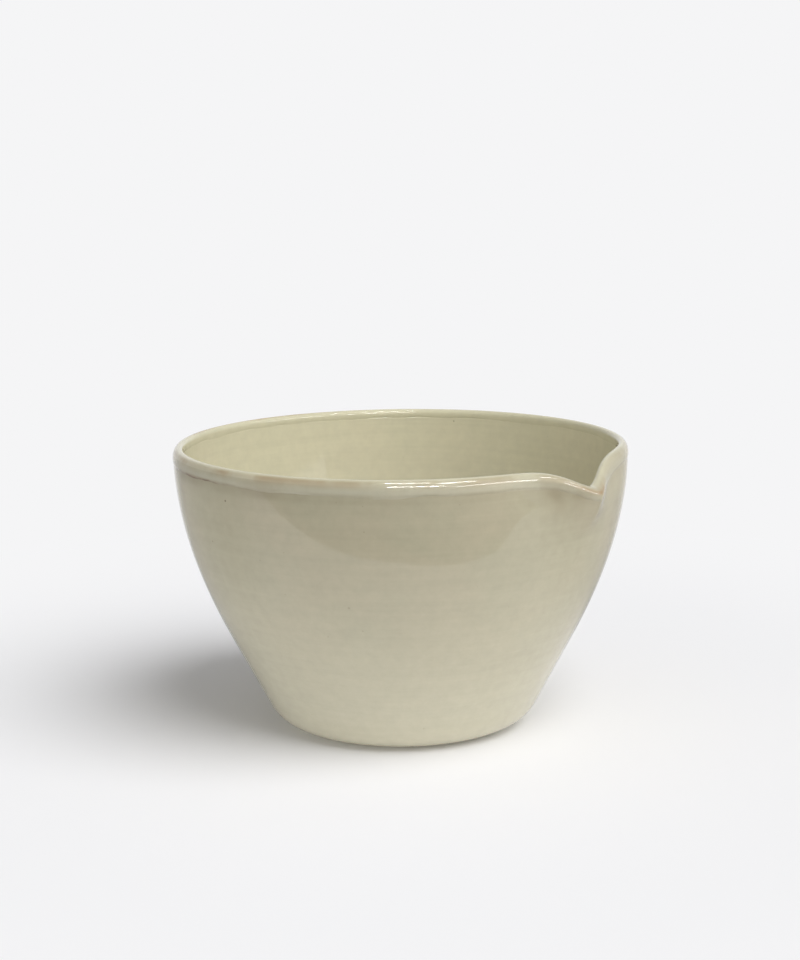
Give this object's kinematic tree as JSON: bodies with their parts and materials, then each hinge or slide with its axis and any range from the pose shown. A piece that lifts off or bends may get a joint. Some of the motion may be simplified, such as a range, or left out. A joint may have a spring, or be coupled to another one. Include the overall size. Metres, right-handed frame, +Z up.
{
  "type": "prep bowl",
  "caption": "Round glazed stoneware prep bowl with a flared wall, a rounded rim, a drawn pouring lip and a turned foot ring.",
  "frame": {"origin": "centre of the foot ring, in the plane that rests on the table", "axes": "+Z up through the middle of the bowl, +X toward the tip of the pouring lip, +Y completes a right-handed frame"},
  "size_m": [0.2042, 0.1998, 0.1255],
  "materials": {
    "stoneware": "matt fired clay, light tan",
    "glaze": "glossy pale sage grey glaze with small iron specks",
    "glaze_double": "glossy double coat, a little lighter, tan where it thins on the lip"
  },
  "bodies": {
    "root": {"clay_body": "stoneware", "outside_glaze": "glaze", "rim_glaze": "glaze_double", "inside_glaze": "glaze", "underside_glaze": "glaze"}
  },
  "joints": []
}
